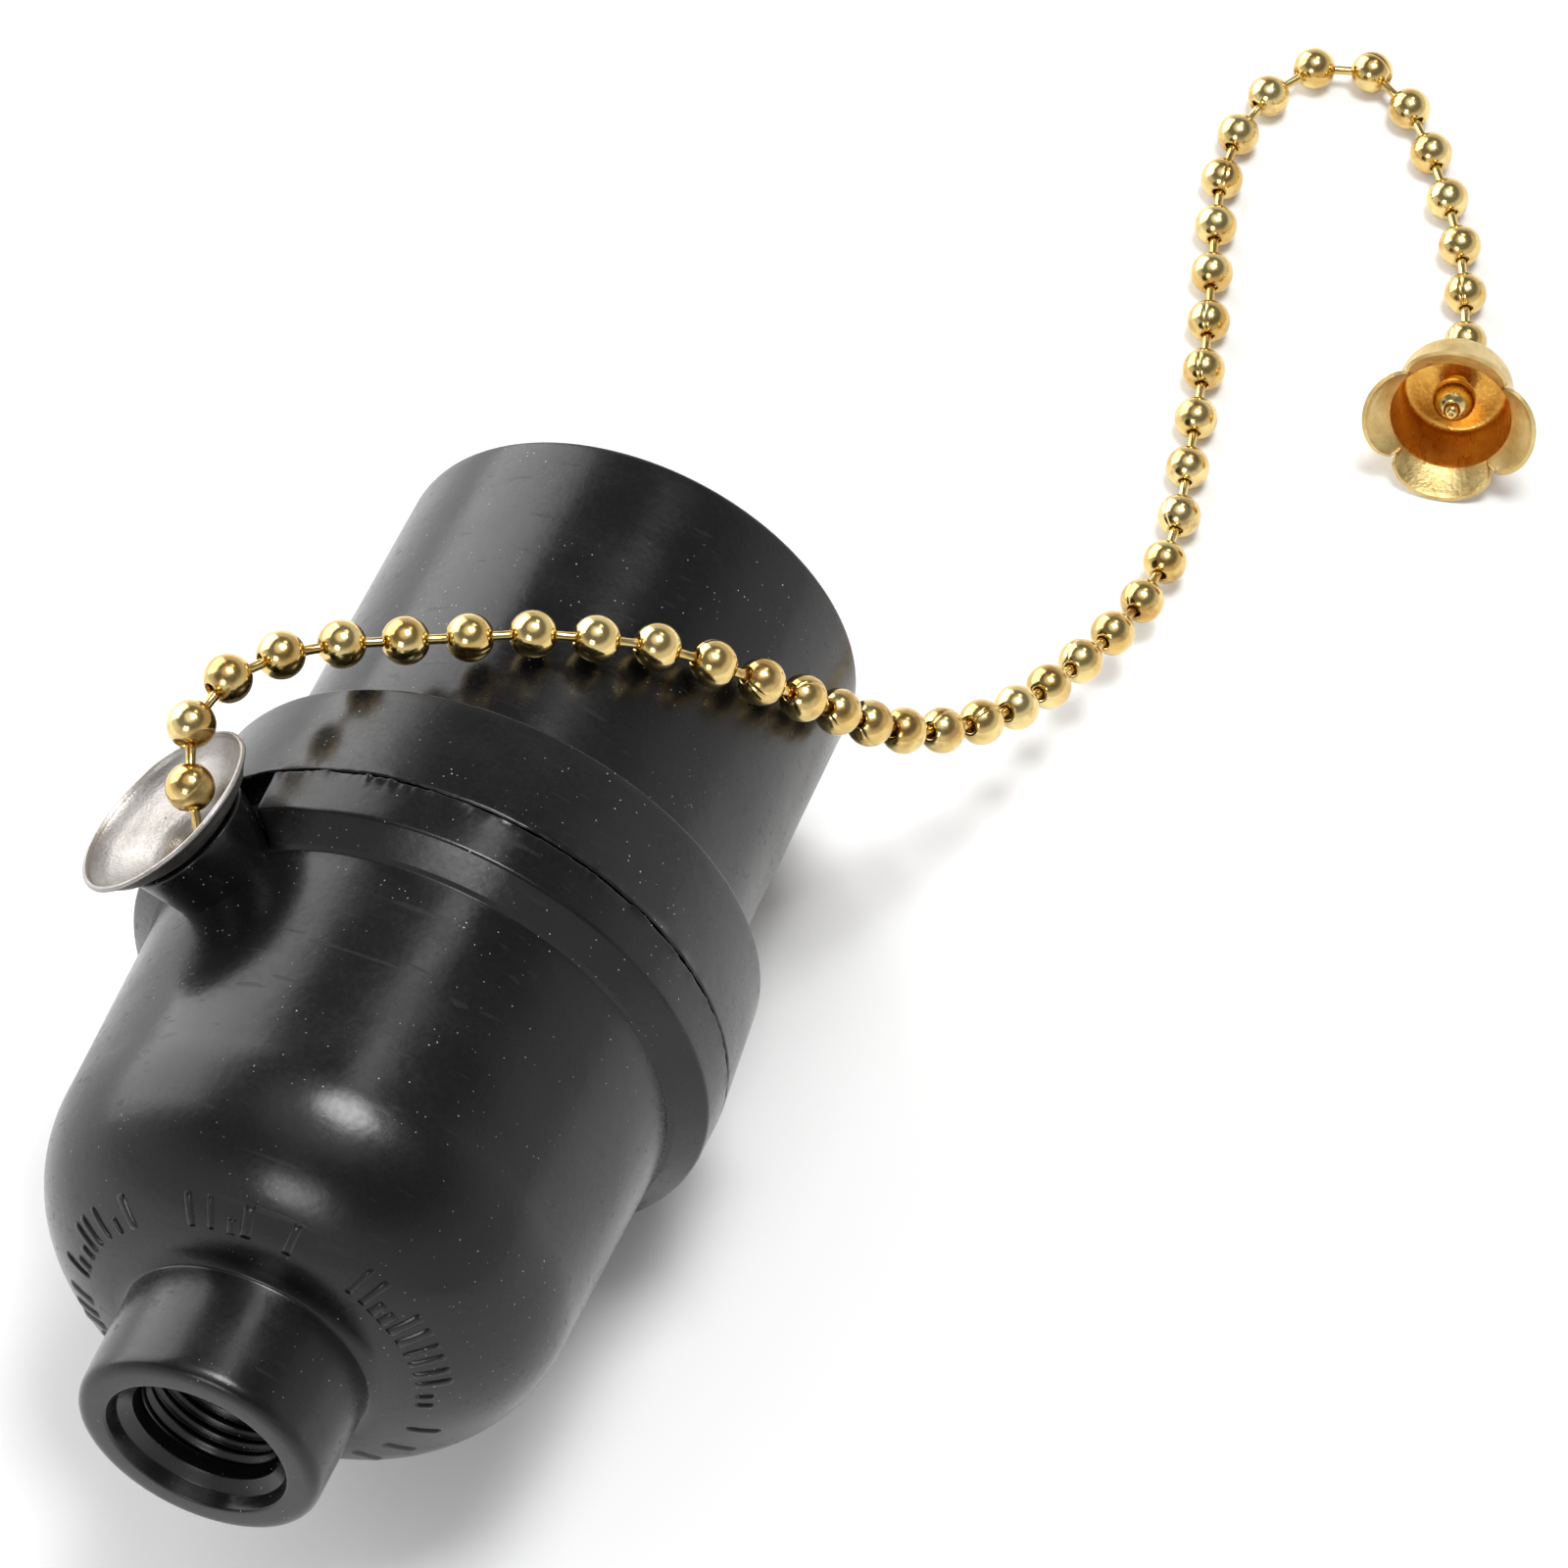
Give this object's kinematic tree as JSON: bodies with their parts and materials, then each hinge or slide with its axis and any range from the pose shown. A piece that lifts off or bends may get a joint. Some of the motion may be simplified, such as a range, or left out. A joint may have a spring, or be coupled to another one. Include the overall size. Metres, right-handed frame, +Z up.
{
  "type": "pull chain lampholder",
  "caption": "Black phenolic screw-base lamp socket with a pull-chain switch, flared metal chain eyelet, brass bead chain and four-petalled bell",
  "frame": {"origin": "on the surface that the socket lies on, under the middle of the box round the socket with its chain guide, without the free chain and bell", "axes": "+Z up; +Y along the level direction of the socket's own axis, from the threaded neck to the open rim; the rim end lies 5.5 degrees lower than the neck end"},
  "size_m": [0.0763, 0.1586, 0.0441],
  "materials": {
    "black_phenolic": "semi-gloss moulded black phenolic, dusty, with fine scratches",
    "brown_phenolic": "matt brown moulded phenolic",
    "white_nylon": "off-white moulded nylon",
    "brass": "polished brass, satin outside the bell",
    "satin_aluminium": "satin spun aluminium",
    "plated_steel": "zinc-plated steel",
    "spring_bronze": "rolled phosphor bronze strip"
  },
  "bodies": {
    "socket": {"assembly_screw_1": "plated_steel", "assembly_screw_2": "plated_steel", "axle": "plated_steel", "base_plate": "brown_phenolic", "cap": "black_phenolic", "chain_guide": "black_phenolic", "cheek_line_side": "brown_phenolic", "cheek_neutral_side": "brown_phenolic", "contact_rivet": "brass", "deck": "brown_phenolic", "detent_spring": "spring_bronze", "free_chain": "brass", "guide_dish": "satin_aluminium", "lamp_leaf": "spring_bronze", "line_terminal": "brass", "line_terminal_screw": "brass", "neutral_terminal": "plated_steel", "neutral_terminal_screw": "plated_steel", "outer_shell": "black_phenolic", "return_spring": "plated_steel", "screw_shell": "satin_aluminium", "shell_rivet_1": "brass", "shell_rivet_2": "brass"},
    "pull_chain": {"inner_chain": "brass"},
    "drum": {"chain_drum": "white_nylon", "drum_chain": "brass", "drive_pawl": "plated_steel"},
    "rotor": {"rotor": "white_nylon", "ratchet_wheel": "plated_steel", "rotor_contact": "spring_bronze"},
    "tongue": {"centre_contact": "spring_bronze"},
    "bell_bead": {"bell_bead": "brass"},
    "bell": {"bell": "brass"}
  },
  "joints": [
    {"name": "pull", "type": "slide", "parent": "socket", "child": "pull_chain", "axis": [-0.6845, 0.0704, 0.7256], "range_m": [0, 0.008], "stiffness_N_per_m": 60, "deforming": ["free_chain"]},
    {"name": "drum_turn", "type": "hinge", "parent": "socket", "child": "drum", "pos_m": [0.0003, -0.0092, 0.02213], "axis": [0.729, 0.0661, 0.6814], "range_deg": [0, 90]},
    {"name": "rotor_turn", "type": "hinge", "parent": "socket", "child": "rotor", "pos_m": [0.0003, -0.0092, 0.02213], "axis": [0.729, 0.0661, 0.6814], "range_deg": [0, 90]},
    {"name": "tongue_flex", "type": "hinge", "parent": "socket", "child": "tongue", "pos_m": [0.00441, 0.00919, 0.01595], "axis": [0.729, 0.0661, 0.6814], "range_deg": [0, 7], "stiffness_Nm_per_rad": 0.004},
    {"name": "bell_tilt", "type": "hinge", "parent": "socket", "child": "bell_bead", "pos_m": [0.0466, 0.0949, 0.0017], "axis": [-0.9877, -0.1564, 0], "range_deg": [0, 30]},
    {"name": "bell_spin", "type": "hinge", "parent": "bell_bead", "child": "bell", "pos_m": [0.0466, 0.0949, 0.0017], "axis": [0.1461, -0.9223, 0.3578], "continuous": true}
  ],
  "couplings": [
    {"joint": "drum_turn", "follows": "pull", "rad_per_m": 196},
    {"joint": "rotor_turn", "follows": "pull", "rad_per_m": 196}
  ]
}
